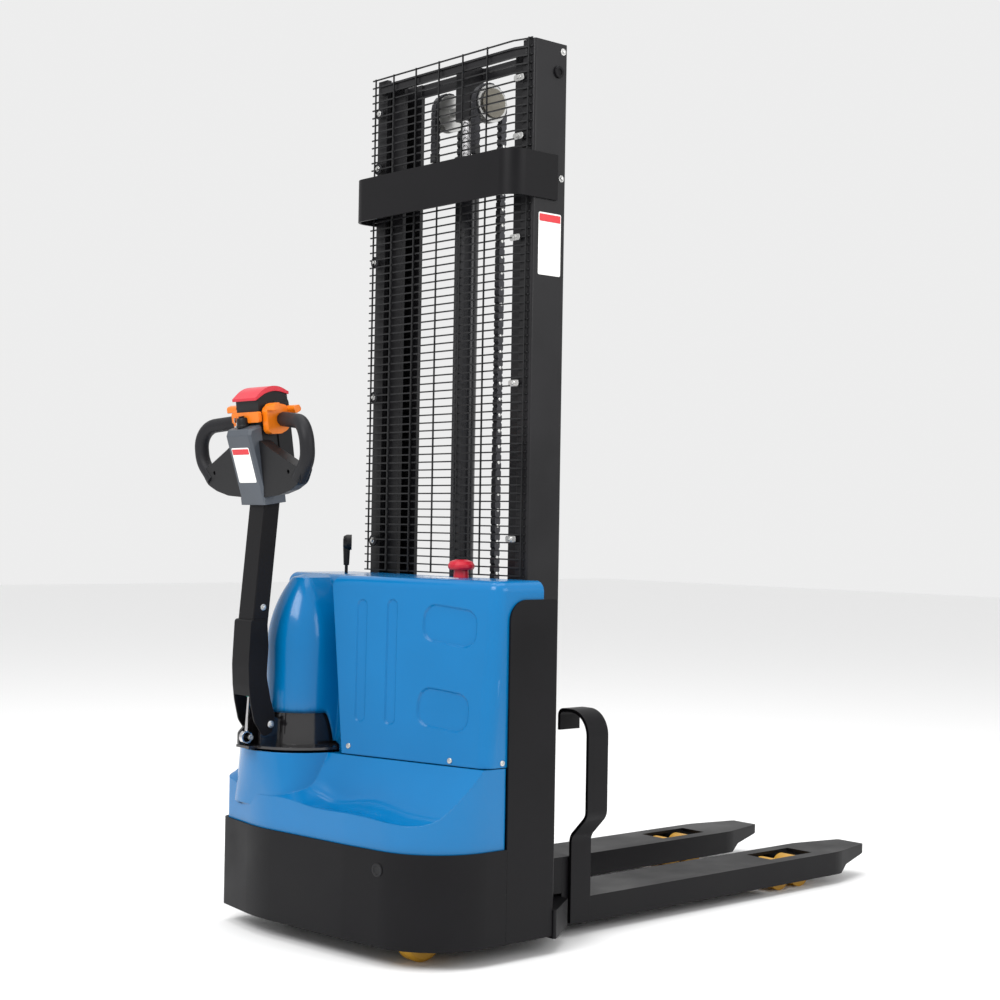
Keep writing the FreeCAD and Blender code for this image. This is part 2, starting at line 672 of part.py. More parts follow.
def hood_front():
    """The hood's front body with its slanted face and sharp crease."""
    y = 150.0
    low = [(-14, y, 0), (-212, y, 0), (-271.8, 31, 0), (face_x(-HOOD_SIDE, SEAM_Z), -HOOD_SIDE, 34),
           (-14, -HOOD_SIDE, 0)]
    top = [(-14, y, 0), (-152, y, 0), (-256.8, 101, 0), (face_x(-HOOD_SIDE, HOOD_TOP), -HOOD_SIDE, 34),
           (-14, -HOOD_SIDE, 0)]
    body = Part.makeLoft([plan(low, SEAM_Z), plan(top, HOOD_TOP)], True, True)
    return top_rounded(body, lambda b: b.XMin < -20 and b.YMin < y - 1)


def hood_side():
    """The hood's plain body beside and behind the tower."""
    low = [(-14, HOOD_SIDE, 0), (-212, HOOD_SIDE, 26), (-212, 60, 0), (-14, 60, 0)]
    top = [(-14, HOOD_SIDE, 0), (-205, HOOD_SIDE, 26), (-205, 60, 0), (-14, 60, 0)]
    body = Part.makeLoft([plan(low, SEAM_Z), plan(top, HOOD_TOP)], True, True)
    return top_rounded(body, lambda b: b.XMin < -20 and b.YMax > 61)


def tower(t, back):
    """The vault over the steering head, pared down by t, from its round front to x = back."""
    turn = ((TOWER_TOP - TOWER_TURN) ** 2 + (TOWER_R - TOWER_TOP_R) ** 2) / (2 * (TOWER_R - TOWER_TOP_R))
    radius = turn - t
    inner_r = TOWER_R - turn
    top = TOWER_TOP - t
    low = SEAM_Z - 3 * t
    middle = (TOWER_TURN + top) / 2.0
    half = []
    for z in (TOWER_TURN, middle, top):
        half.append((inner_r + math.sqrt(radius ** 2 - (z - TOWER_TURN) ** 2), z))
    cap = top + 8

    def at(r, z):
        return V(STEER_X, STEER_Y + r, z)
    r0, r1, r2 = half[0][0], half[1][0], half[2][0]
    side = [Part.LineSegment(at(0, low), at(r0, low)).toShape(),
            Part.LineSegment(at(r0, low), at(r0, TOWER_TURN)).toShape(),
            Part.Arc(at(r0, TOWER_TURN), at(r1, middle), at(r2, top)).toShape(),
            Part.LineSegment(at(r2, top), at(0, cap)).toShape(),
            Part.LineSegment(at(0, cap), at(0, low)).toShape()]
    face = Part.Face(Part.Wire(side))
    dome = face.revolve(V(STEER_X, STEER_Y, 0), V(0, 0, 1), 360)
    half_vault = face.extrude(V(back - STEER_X, 0, 0))
    other = half_vault.mirror(V(0, STEER_Y, 0), V(0, 1, 0))
    return fuse([dome, half_vault, other])


def recess(points, depth):
    """A pressed recess in the hood's front face, with sloping sides."""
    normal = V(-1, -0.243, 0.075).normalize()
    rim = rounded_wire([(V(face_x(y, z), y, z) + normal * 1.0, r) for y, z, r in points])
    floor = Part.Face(rim).makeOffset2D(-depth).OuterWire
    floor.translate(normal * (-depth - 1.0))
    return Part.makeLoft([rim, floor], True, True)


def groove(y0, z0, y1, z1, width):
    """The outline of a long recess with round ends, from its centre line."""
    along = V(0, y1 - y0, z1 - z0).normalize()
    h = width / 2.0
    ny, nz = -along.z * h, along.y * h
    r = h - 0.05
    return [(y0 + ny, z0 + nz, r), (y1 + ny, z1 + nz, r), (y1 - ny, z1 - nz, r), (y0 - ny, z0 - nz, r)]


def hood_upper():
    """The moulded hood: front body, side body and tower, hollow, with its pressed recesses."""
    t = HOOD_WALL
    parting = STEER_Y - TOWER_R
    skin = FACE_DEPTH + t + 2
    y = parting + 26
    inner_front = Part.makeLoft([plan([(-13, y, 0), (-190, y, 0), (-262, 33, 0),
                                       (face_x(-HOOD_SIDE, SEAM_Z) + skin, -HOOD_SIDE + t, 20),
                                       (-13, -HOOD_SIDE + t, 0)], SEAM_Z - 1),
                                 plan([(-13, y, 0), (-140, y, 0), (-236, 98, 0),
                                       (face_x(-HOOD_SIDE, HOOD_TOP) + 26, -HOOD_SIDE + 17, 20),
                                       (-13, -HOOD_SIDE + 17, 0)], HOOD_TOP - t - 1)], True, True)
    inner_side = Part.makeLoft([plan([(-13, HOOD_SIDE - t, 0), (-206, HOOD_SIDE - t, 21),
                                      (-206, 60, 0), (-13, 60, 0)], SEAM_Z - 1),
                                plan([(-13, HOOD_SIDE - 17, 0), (-188, HOOD_SIDE - 17, 21),
                                      (-188, 60, 0), (-13, 60, 0)], HOOD_TOP - t - 1)],
                               True, True)
    right = box(-400, 0, -400, parting - 0.2, 400, 900)
    front = hood_front().common(right).cut(fuse([inner_front, inner_side]))
    for points in (groove(5, 790, -14, 502, 36), groove(-81, 793, -99, 502, 36),
                   [(-169, 789, 36), (-319, 774, 36), (-321, 683, 36), (-169, 699, 36)],
                   [(-171, 603, 36), (-312, 589, 36), (-316, 497, 36), (-169, 510, 36)]):
        front = front.cut(recess(points, FACE_DEPTH))
    inner_tower = tower(t, -130.0)
    side = hood_side().cut(inner_side).cut(fuse([inner_front, inner_tower]))
    side = side.common(box(-400, 0, parting + 0.2, 400, 400, 900)).cut(tower(0.3, -130.0))
    vault = tower(0, -130.0).cut(inner_tower)
    vault = vault.common(box(-400, -190, 0, 400, 400, 900)).cut(inner_side)
    opening = Part.makeCone(93, 85, TOWER_LOW - SEAM_Z + 2, V(STEER_X, STEER_Y, SEAM_Z - 2))
    slot = rod_z(STEER_X, STEER_Y, HEAD_R + 5, SEAM_Z - 2, HEAD_Z + 12)
    return [piece.cut(opening).cut(slot) for piece in (front, side, vault)]


def battery():
    """The traction battery as one plain block."""
    return box(-150, -20, -330, 40, 222, 470)


def turned(x, y, points):
    """A body turned about a vertical axis, from its (radius, z) outline."""
    ring = points + [points[0]]
    return Part.Face(Part.makePolygon([V(x + r, y, z) for r, z in ring])).revolve(V(x, y, 0),
                                                                                  V(0, 0, 1), 360)


def emergency_stop():
    """Mushroom push button on its collar."""
    z = HOOD_TOP
    return turned(-60.0, -135.0, [(0, z), (18, z), (17, z + 18), (28, z + 19), (31, z + 24),
                                  (31, z + 30), (26, z + 38), (14, z + 42), (0, z + 42)])


def charger_plug():
    """The right-angled charging plug parked on its lead stub."""
    x, y = -100.0, 258.0
    z = HOOD_TOP
    handle = turned(x, y, [(0, z), (4, z), (4, z + 18), (7, z + 19), (9, z + 66), (9, z + 84),
                           (0, z + 88)])
    back = V(x - 6, y + 5, z + 75)
    aim = V(0.78, -0.62, 0)
    flare = Part.makeCone(15, 19, 8, back, aim)
    drum = Part.makeCylinder(19, 12, back + aim * 8, aim)
    return fuse([handle, flare, drum])


# ---------------------------------------------------------------- steering head
def drive_unit():
    """Motor, gearbox and the fork that carries the drive wheel."""
    post = rod_z(STEER_X, STEER_Y, 92, 216, 300)
    motor = rod_z(STEER_X, STEER_Y, 74, 300, HEAD_Z)
    cheek = side_prism([(STEER_X - 56, 216, 8), (STEER_X - 40, 84, 20), (STEER_X + 40, 84, 20),
                        (STEER_X + 56, 216, 8)],
                       STEER_Y + DRIVE_HALF + 6, STEER_Y + DRIVE_HALF + 24)
    other = side_prism([(STEER_X - 56, 216, 8), (STEER_X - 30, 84, 20), (STEER_X + 30, 84, 20),
                        (STEER_X + 56, 216, 8)],
                       STEER_Y - DRIVE_HALF - 16, STEER_Y - DRIVE_HALF - 6)
    crown = rod_z(STEER_X, STEER_Y, 92, 206, 216)
    axle = rod_y(STEER_X, DRIVE_R, 14, STEER_Y - DRIVE_HALF - 10, STEER_Y + DRIVE_HALF + 10)
    return fuse([post, motor, crown, cheek, other, axle])


def steer_drum():
    """The turntable plate, the glossy drum and the tiller's two ears."""
    z = HEAD_Z + 6
    drum = turned(STEER_X, STEER_Y, [(0, HEAD_Z), (HEAD_R, HEAD_Z), (HEAD_R, z), (86, z),
                                     (79, DRUM_TOP - 5), (75, DRUM_TOP), (0, DRUM_TOP)])
    back = STEER_X - 70
    long_ear = [(back, HEAD_Z + 5, 0), (EYE_X - 16, HEAD_Z + 5, 4), (EYE_X - 16, EYE_Z + 10, 12),
                (TILLER_X - 14, TILLER_Z + 16, 14), (TILLER_X + 18, TILLER_Z + 16, 12), (back,
                                                                                         HEAD_Z + 60, 0)]
    short_ear = [(back, HEAD_Z + 5, 0), (TILLER_X - 18, HEAD_Z + 5, 4),
                 (TILLER_X - 18, TILLER_Z + 16, 14),
                 (TILLER_X + 18, TILLER_Z + 16, 12), (back, HEAD_Z + 60, 0)]
    ears = [side_prism(long_ear, STEER_Y + 14, STEER_Y + 22),
            side_prism(short_ear, STEER_Y - 22, STEER_Y - 14)]
    foot = box(EYE_X - 16, STEER_X - 100, STEER_Y - 26, STEER_Y + 26, HEAD_Z, z)
    pin = rod_y(TILLER_X, TILLER_Z, 7, STEER_Y - HOUSING_HALF - 3, STEER_Y + HOUSING_HALF + 3)
    eye_pin = rod_y(EYE_X, EYE_Z, EYE_PIN_R, STEER_Y - 8, STEER_Y + 15)
    return fuse([drum, foot, pin, eye_pin] + ears)


# ---------------------------------------------------------------- tiller
def lean(shape):
    """Tilt a shape drawn upright over the tiller pivot to its parked lean."""
    out = shape.copy()
    out.rotate(V(TILLER_X, STEER_Y, TILLER_Z), V(0, 1, 0), TILLER_LEAN)
    return out


def on_pivot(points):
    """Side outline points given from the tiller pivot."""
    return [(TILLER_X + u, TILLER_Z + w, r) for u, w, r in points]


def tiller_housing():
    """The bowed lower housing, a channel that opens towards the hood and down to the spring's eye."""
    t = HOUSING_WALL
    y0 = STEER_Y - HOUSING_HALF
    y1 = STEER_Y + HOUSING_HALF
    plate = [(-80, 238, 8), (-77, 171, 120), (-75, 131, 120), (-68, 85, 90), (-60, 50, 60),
             (-44, 4, 30), (-14, -30, 12), (8, -18, 12),
             (12, 20, 20), (-4, 55, 40), (-22, 110, 90), (-25, 180, 60), (-36, 243, 6)]
    solid = side_prism(on_pivot(plate), y0, y1)
    room = [(-76, 246, 0), (-73, 171, 110), (-71, 131, 110), (-64, 85, 80), (-58, 62, 0), (-100, 62, 0),
            (-100, -60, 0), (60, -60, 0),
            (60, 246, 0)]
    hollow = side_prism(on_pivot(room), y0 + t, y1 - t)
    bore = rod_y(TILLER_X, TILLER_Z, 7.05, y0 - 5, y1 + 5)
    return lean(solid.cut(hollow).cut(bore))


def tiller_arm():
    """The rectangular upper tube, held between the housing's sides."""
    half = HOUSING_HALF - HOUSING_WALL
    low = on_pivot([(ARM_FRONT, ARM_LOW, 0), (ARM_REAR, ARM_LOW, 0), (ARM_REAR, ARM_TOP, 0),
                    (ARM_FRONT, ARM_TOP, 0)])
    tube = side_prism(low, STEER_Y - half, STEER_Y + half)
    edges = [e for e in tube.Edges if e.BoundBox.ZLength > 200]
    return lean(tube.makeChamfer(1.5, edges))


def head_frame(shape):
    """Tilt a shape drawn upright over the arm's neck to the control head's own lean."""
    out = shape.copy()
    out.rotate(V(TILLER_X + NECK_U, STEER_Y, TILLER_Z + NECK_W), V(0, 1, 0), -HEAD_TILT)
    return lean(out)


def head_side(points, s0, s1):
    """A side outline of the control head, (forwards, up, radius) from its neck, between two widths."""
    outline = [(TILLER_X + NECK_U - d, TILLER_Z + NECK_W + h, r) for d, h, r in points]
    return side_prism(outline, STEER_Y + s0, STEER_Y + s1)


def head_front(points, d0, d1):
    """A front outline of the control head, (sideways, up, radius) from its neck, between two depths."""
    outline = [(STEER_Y + s, TILLER_Z + NECK_W + h, r) for s, h, r in points]
    x = TILLER_X + NECK_U
    return front_prism(outline, x - d1, x - d0)


def both_sides(half):
    """A front outline from its right half, bottom to top."""
    return half + [(-s, h, r) for s, h, r in reversed(half)]


CROWN = [(40, 239, 0), (26, 246, 0), (-20, 270, 70), (-67, 253, 0), (-90, 246, 0)]


def tiller_head():
    """The dark control head: the winged plate, the stem and the crown."""
    plate = both_sides([(40, 21, 0), (104, 25, 50), (152, 36, 60), (190, 52, 40), (214, 86, 6),
                        (186, 92, 6), (86, 136, 24), (56, 152, 0)])
    wings = head_front(plate, 2, 30)
    stem = head_front(both_sides([(46, 60, 0), (46, 270, 0)]), -26, 19)
    shell = head_front(both_sides([(50, 78, 20), (50, 246, 14)]), -64, -26)
    crown = head_front(both_sides([(46, 200, 0), (46, 270, 0)]), -64, 19)
    above = head_side(CROWN + [(-90, 330, 0), (40, 330, 0)], -90, 90)
    whole = fuse([wings, stem, shell, crown]).cut(above)
    for s in (-1, 1):
        hole = rod_x(STEER_Y + s * 155, TILLER_Z + NECK_W + 80, 5, TILLER_X + NECK_U - 31,
                     TILLER_X + NECK_U - 18)
        whole = whole.cut(hole)
    return head_frame(whole)


def rod_x(y, z, radius, x0, x1):
    """A cylinder along X."""
    return Part.makeCylinder(radius, x1 - x0, V(x0, y, z), V(1, 0, 0))


def tiller_grips():
    """Two closed tubular loops that grow out of the winged plate."""
    x = TILLER_X + NECK_U - 18
    z = TILLER_Z + NECK_W
    loops = []
    for s in (-1, 1):
        pts = [V(x + 44, STEER_Y + s * 79, z + 197), V(x + 4, STEER_Y + s * 222, z + 189),
               V(x, STEER_Y + s * 220, z + 106),
               V(x, STEER_Y + s * 178, z + 62)]
        path = rounded_path(pts, (0, 54, 56, 0))
        ring = Part.Wire(Part.makeCircle(17, pts[0], pts[1] - pts[0]))
        loops.append(head_frame(path.makePipeShell([ring], True, False)).cut(tiller_head()))
    return loops


def rounded_path(points, radii):
    """An open path of runs joined by tangent arcs."""
    edges = []
    last = points[0]
    for i in range(1, len(points) - 1):
        here = points[i]
        back = (points[i - 1] - here).normalize()
        ahead = (points[i + 1] - here).normalize()
        half = back.getAngle(ahead) / 2.0
        reach = radii[i] / math.tan(half)
        a = here + back * reach
        b = here + ahead * reach
        centre = here + (back + ahead).normalize() * (radii[i] / math.sin(half))
        middle = centre + (here - centre).normalize() * radii[i]
        edges.append(Part.LineSegment(last, a).toShape())
        edges.append(Part.Arc(a, middle, b).toShape())
        last = b
    edges.append(Part.LineSegment(last, points[-1]).toShape())
    return Part.Wire(edges)


def throttle():
    """The butterfly throttle: the bar across the front and a thumb wheel with paddles on each side."""
    bar = head_frame(head_front(both_sides([(56, 195, 6), (56, 220, 6)]), 19, 28.5))
    pieces = [bar]
    for s in (-1, 1):
        inner, outer = (50, 72) if s > 0 else (-72, -50)
        disc = head_side([(14, 166, 14), (14, 226, 16), (-10, 238, 14), (-44, 228, 20), (-54, 204, 20),
                          (-42, 172, 20), (-20, 164, 20)], inner, outer)
        near, far = (60, 100) if s > 0 else (-100, -60)
        front = head_side([(11, 219, 3), (11, 234, 7), (-5, 238, 3), (-4, 221, 3)], near, far)
        rear = head_side([(-47, 207, 4), (-41, 222, 6), (-58, 229, 6), (-64, 214, 6)], near, far)
        pieces.append(head_frame(fuse([disc, front, rear])))
    return pieces


def belly_button():
    """The red safety reversing cap arched over the head's crown."""
    cap = head_side(CROWN[1:4] + [(-68, 259, 2), (-22, 288, 58), (27, 252, 2)], -49, 49)
    return head_frame(cap)


def control_box():
    """The grey wedge with the key switch on the head's face, and the collar round the arm."""
    wedge = head_side([(30, 3, 0), (56, 168, 6), (50, 182, 6), (20, 190, 0), (19.2, 150, 0),
                       (29, 130, 0)], -50, 50)
    edges = [e for e in wedge.Edges if e.BoundBox.ZLength > 100 and e.BoundBox.XMin < TILLER_X + NECK_U - 31]
    wedge = wedge.makeChamfer(6, edges)
    collar = head_side([(30.5, 3, 0), (30.5, 21, 0), (-27, 21, 0), (-27, 3, 0)], -50, 50)
    return head_frame(fuse([wedge, collar])).cut(tiller_head()).cut(tiller_arm())


def spring_frame(shape):
    """Tilt a shape drawn upright over the eye pin to the spring's own line."""
    out = shape.copy()
    out.rotate(V(EYE_X, STEER_Y, EYE_Z), V(0, 1, 0), SPRING_TILT)
    return out


def gas_spring_tube():
    """The gas spring's cylinder, hung in the lower housing."""
    x = EYE_X + EYE_OFFSET
    half = HOUSING_HALF - HOUSING_WALL
    tube = rod_z(x, STEER_Y, 7, EYE_Z + 94, EYE_Z + 214)
    bore = rod_z(x, STEER_Y, 4.1, EYE_Z + 90, EYE_Z + 206)
    pin = rod_y(x, EYE_Z + 206, 5, STEER_Y - half, STEER_Y + half)
    return spring_frame(fuse([tube, pin]).cut(bore))


def gas_spring_rod():
    """The gas spring's rod with its eye, free of its pin."""
    x = EYE_X + EYE_OFFSET
    rod = rod_z(x, STEER_Y, 4, EYE_Z + 13, EYE_Z + 116)
    ring = rod_y(x, EYE_Z, 15, STEER_Y - 6, STEER_Y + 6)
    hole = rod_y(x, EYE_Z, 11.2, STEER_Y - 7, STEER_Y + 7)
    return spring_frame(fuse([rod, ring]).cut(hole))


# ---------------------------------------------------------------- caster
def caster_fork():
    """The caster's swivel head and two cheeks."""
    axle_x = CASTER_X - CASTER_TRAIL
    head = rod_z(CASTER_X, CASTER_Y, 36, 138, 149.5)
    stem = rod_z(CASTER_X, CASTER_Y, 12, 140, 221)
    crown = box(CASTER_X - 40, CASTER_X + 24, CASTER_Y - 32, CASTER_Y + 32, 128, 139)
    pieces = [head, stem, crown]
    for y in (CASTER_Y - 32, CASTER_Y + 26):
        pieces.append(side_prism([(axle_x - 16, CASTER_R - 16, 14), (axle_x + 16, CASTER_R - 16, 14),
                                  (CASTER_X + 24, 128, 6),
                                  (CASTER_X + 24, 139, 0), (CASTER_X - 40, 139, 0), (CASTER_X - 40,
                                                                                     128, 0)], y, y + 6))
    pieces.append(rod_y(axle_x, CASTER_R, 8, CASTER_Y - 30, CASTER_Y + 30))
    return fuse(pieces)


# ---------------------------------------------------------------- build
def main():
    for name, side in (("left", 1), ("right", -1)):
        save("mast_outer_" + name, outer_channel(side))
        save("mast_inner_" + name, inner_channel(side))
        save("leg_" + name, leg(side))
        save("fork_" + name, fork(side))
        for place, x in (("front", ROLLER_X[0]), ("rear", ROLLER_X[1])):
            wheel = wheel_y(x, LEG_Y, ROLLER_R, ROLLER_R, ROLLER_HALF, ROLLER_PIN_R + 0.05, 0)
            save("load_roller_" + place + "_" + name, wheel if side > 0 else mirror_y(wheel))
    save("side_panels", Part.Compound([side_panel(1), side_panel(-1)]))
    save("side_guards", Part.Compound([side_guard(1), side_guard(-1)]))
    save("mast_outer_beams", Part.Compound(outer_beams()))
    save("name_band", name_band())
    save("mesh_guard", fuse(mesh_guard()))
    save("lift_cylinder", lift_cylinder())
    save("chain_anchor_falls", Part.Compound(anchor_falls()))
    save("chain_carriage_falls", Part.Compound(carriage_falls()))
    save("chain_wraps", Part.Compound(chain_wraps()))
    save("chain_pulleys", chain_pulleys())
    save("mast_inner_ties", Part.Compound(inner_ties()))
    save("lift_rod", lift_rod())
    save("fork_carriage", carriage())
    save("leg_base", Part.Compound(leg_base()))
    save("skirt", skirt())
    save("chassis_frame", chassis_frame())
    save("hood_lower", hood_lower())
    save("hood_upper", Part.Compound(hood_upper()))
    save("battery", battery())
    save("emergency_stop", emergency_stop())
    save("charger_plug", charger_plug())
    save("drive_unit", drive_unit())
    save("steer_drum", steer_drum())
    save("drive_wheel", wheel_y(STEER_X, STEER_Y, DRIVE_R, DRIVE_R, DRIVE_HALF, 14.05, 6))
    save("tiller_housing", tiller_housing())
    save("tiller_arm", tiller_arm())
    save("tiller_head", tiller_head())
    save("tiller_grips", Part.Compound(tiller_grips()))
    save("throttle", Part.Compound(throttle()))
    save("belly_button", belly_button())
    save("control_box", control_box())
    save("gas_spring_tube", gas_spring_tube())
    save("gas_spring_rod", gas_spring_rod())
    save("caster_fork", caster_fork())
    save("caster_wheel", wheel_y(CASTER_X - CASTER_TRAIL, CASTER_Y, CASTER_R, CASTER_R, CASTER_HALF,
                                 8.05, 8))


main()
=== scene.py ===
import math
import bmesh
import bpy
from mathutils import Matrix, Vector
from mathutils.bvhtree import BVHTree


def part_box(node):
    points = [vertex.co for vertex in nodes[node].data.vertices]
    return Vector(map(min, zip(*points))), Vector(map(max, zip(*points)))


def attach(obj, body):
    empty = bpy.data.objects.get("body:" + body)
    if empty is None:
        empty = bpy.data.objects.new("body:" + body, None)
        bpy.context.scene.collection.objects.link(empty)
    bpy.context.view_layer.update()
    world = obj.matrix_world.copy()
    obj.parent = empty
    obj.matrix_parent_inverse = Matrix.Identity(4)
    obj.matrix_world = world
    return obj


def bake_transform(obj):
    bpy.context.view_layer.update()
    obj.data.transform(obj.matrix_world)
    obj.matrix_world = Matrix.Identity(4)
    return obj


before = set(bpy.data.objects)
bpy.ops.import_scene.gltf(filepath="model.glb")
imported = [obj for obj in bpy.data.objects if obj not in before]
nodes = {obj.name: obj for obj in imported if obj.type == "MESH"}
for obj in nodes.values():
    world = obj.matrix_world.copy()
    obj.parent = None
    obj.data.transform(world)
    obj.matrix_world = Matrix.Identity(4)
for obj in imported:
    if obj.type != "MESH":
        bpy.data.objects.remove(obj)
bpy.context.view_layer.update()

# The drawing's own origin is the middle of the mast's front face, on the floor.
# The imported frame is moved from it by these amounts.
SHIFT = Vector((-0.451135, -0.034845, 0.0))


def at(x, y, z):
    """A point given in millimetres from the mast's front face."""
    return Vector((x, y, z)) / 1000.0 + SHIFT


# ------------------------------------------------------------------ materials
def new_material(name):
    """An empty node material and its Principled shader."""
    m = bpy.data.materials.new(name)
    m.use_nodes = True
    nt = m.node_tree
    nt.nodes.clear()
    out = nt.nodes.new("ShaderNodeOutputMaterial")
    shader = nt.nodes.new("ShaderNodeBsdfPrincipled")
    nt.links.new(shader.outputs["BSDF"], out.inputs["Surface"])
    return m, nt, shader


def noise(nt, scale, detail=3.0, stretch=(1, 1, 1)):
    """A noise pattern in the object's own coordinates."""
    coords = nt.nodes.new("ShaderNodeTexCoord")
    mapping = nt.nodes.new("ShaderNodeMapping")
    mapping.inputs["Scale"].default_value = stretch
    tex = nt.nodes.new("ShaderNodeTexNoise")
    tex.inputs["Scale"].default_value = scale
    tex.inputs["Detail"].default_value = detail
    nt.links.new(coords.outputs["Object"], mapping.inputs["Vector"])
    nt.links.new(mapping.outputs["Vector"], tex.inputs["Vector"])
    return tex.outputs["Fac"]


def ramp(nt, fac, low, high, a=0.35, b=0.65):
    """Two colours mixed along a factor."""
    node = nt.nodes.new("ShaderNodeValToRGB")
    node.color_ramp.elements[0].position = a
    node.color_ramp.elements[0].color = (*low, 1)
    node.color_ramp.elements[1].position = b
    node.color_ramp.elements[1].color = (*high, 1)
    nt.links.new(fac, node.inputs["Fac"])
    return node.outputs["Color"]


def span(nt, fac, low, high):
    """A factor spread between two numbers."""
    node = nt.nodes.new("ShaderNodeMapRange")
    node.inputs["From Min"].default_value = 0.3
    node.inputs["From Max"].default_value = 0.7
    node.inputs["To Min"].default_value = low
    node.inputs["To Max"].default_value = high
    nt.links.new(fac, node.inputs["Value"])
    return node.outputs["Result"]


def tone(colour, factor):
    """A colour made lighter or darker."""
    return tuple(min(1.0, c * factor) for c in colour)


def finish_of(name, colour, rough=(0.3, 0.45), metallic=0.0, coat=0.0, edge=0.0012,
              grain=220.0, depth=0.00006, vary=0.12, cloud=6.0, stretch=(1, 1, 1), spec=0.4):
    """A surface with a slow colour drift, uneven gloss, a fine texture and softened edges."""
    m, nt, shader = new_material(name)
    slow = noise(nt, cloud, 4.0)
    fine = noise(nt, grain, 2.0, stretch)
    shades = ramp(nt, slow, tone(colour, 1 - vary), tone(colour, 1 + vary))
    nt.links.new(shades, shader.inputs["Base Color"])
    nt.links.new(span(nt, slow, rough[0], rough[1]), shader.inputs["Roughness"])
    shader.inputs["Metallic"].default_value = metallic
    shader.inputs["Specular IOR Level"].default_value = spec
    shader.inputs["Coat Weight"].default_value = coat
    shader.inputs["Coat Roughness"].default_value = 0.06
    bevel = nt.nodes.new("ShaderNodeBevel")
    bevel.samples = 4
    bevel.inputs["Radius"].default_value = edge
    bump = nt.nodes.new("ShaderNodeBump")
    bump.inputs["Strength"].default_value = 1.0
    bump.inputs["Distance"].default_value = depth
    nt.links.new(fine, bump.inputs["Height"])
    nt.links.new(bevel.outputs["Normal"], bump.inputs["Normal"])
    nt.links.new(bump.outputs["Normal"], shader.inputs["Normal"])
    return m


BLUE = (0.0, 0.138, 0.355)
INK = (0.0042, 0.0039, 0.0048)
M = {
    "blue": finish_of("blue_gelcoat", BLUE, (0.16, 0.26), coat=0.22, spec=0.24, edge=0.004,
                      grain=60, depth=0.00005, vary=0.05, cloud=3),
    "steel": finish_of("black_powder_coat", INK, (0.36, 0.52), spec=0.15, edge=0.0015, grain=900,
                       depth=0.00005, vary=0.2),
    "mast": finish_of("mast_paint", (0.0085, 0.0082, 0.0094), (0.30, 0.44), spec=0.25, edge=0.002,
                      grain=500, depth=0.00004, vary=0.15),
    "gloss": finish_of("gloss_black", (0.010, 0.009, 0.010), (0.10, 0.2), spec=0.5, coat=0.4,
                       edge=0.002, grain=120, depth=0.00003),
    "rubber": finish_of("grip_rubber", (0.010, 0.010, 0.012), (0.45, 0.6), spec=0.25, edge=0.002,
                        grain=900, depth=0.0001),
    "black": finish_of("black_plastic", (0.008, 0.008, 0.009), (0.36, 0.5), spec=0.25, edge=0.002,
                       grain=700, depth=0.00006),
    "grey": finish_of("grey_plastic", (0.060, 0.070, 0.085), (0.35, 0.48), edge=0.002, grain=500,
                      depth=0.00006),
    "orange": finish_of("orange_plastic", (0.72, 0.17, 0.005), (0.26, 0.36), edge=0.002, grain=200,
                        depth=0.00004, vary=0.06),
    "red": finish_of("red_plastic", (0.52, 0.012, 0.030), (0.24, 0.34), edge=0.002, grain=200,
                     depth=0.00004, vary=0.06),
    "wire": finish_of("painted_wire", (0.008, 0.008, 0.009), (0.35, 0.5), spec=0.3, edge=0.0005,
                      grain=900, depth=0.00004),
    "chrome": finish_of("chromed_rod", (0.62, 0.61, 0.62), (0.06, 0.14), metallic=1.0, grain=40,
                        depth=0.00001, vary=0.05,
                        stretch=(1, 1, 30)),
    "chain": finish_of("oiled_chain", (0.045, 0.045, 0.050), (0.28, 0.5), metallic=0.7, edge=0.0006,
                       grain=500, depth=0.00006),
    "pulley": finish_of("turned_steel", (0.42, 0.42, 0.41), (0.25, 0.4), metallic=0.9, grain=300,
                        depth=0.00003,
                        stretch=(1, 12, 1)),
    "tread": finish_of("yellow_polyurethane", (0.50, 0.26, 0.02), (0.4, 0.55), grain=160,
                       depth=0.0001, vary=0.1),
    "tyre": finish_of("drive_tread", (0.045, 0.045, 0.045), (0.5, 0.65), grain=400, depth=0.00012),
    "zinc": finish_of("zinc_plate", (0.55, 0.55, 0.54), (0.25, 0.45), metallic=1.0, edge=0.0008,
                      grain=300, depth=0.00004),
    "label": finish_of("blank_plate", (0.86, 0.86, 0.84), (0.3, 0.4), edge=0.0003, grain=300,
                       depth=0.00002, vary=0.03),
    "label_red": finish_of("stripe_red", (0.66, 0.03, 0.04), (0.3, 0.4), edge=0.0003, grain=300,
            depth=0.00002),
    "cream": finish_of("cream_nylon", (0.20, 0.185, 0.15), (0.35, 0.5), grain=300, depth=0.00004,
                       vary=0.06),
    "teal": finish_of("teal_tube", (0.0, 0.20, 0.16), (0.25, 0.35), edge=0.001, grain=300,
                      depth=0.00003),
    "cylinder": finish_of("cylinder_paint", (0.009, 0.009, 0.011), (0.2, 0.32), grain=300,
                          depth=0.00004),
}


def paint(material, *names):
    """Give CAD nodes one finish."""
    for name in names:
        ob = nodes[name]
        ob.data.materials.clear()
        ob.data.materials.append(M[material])


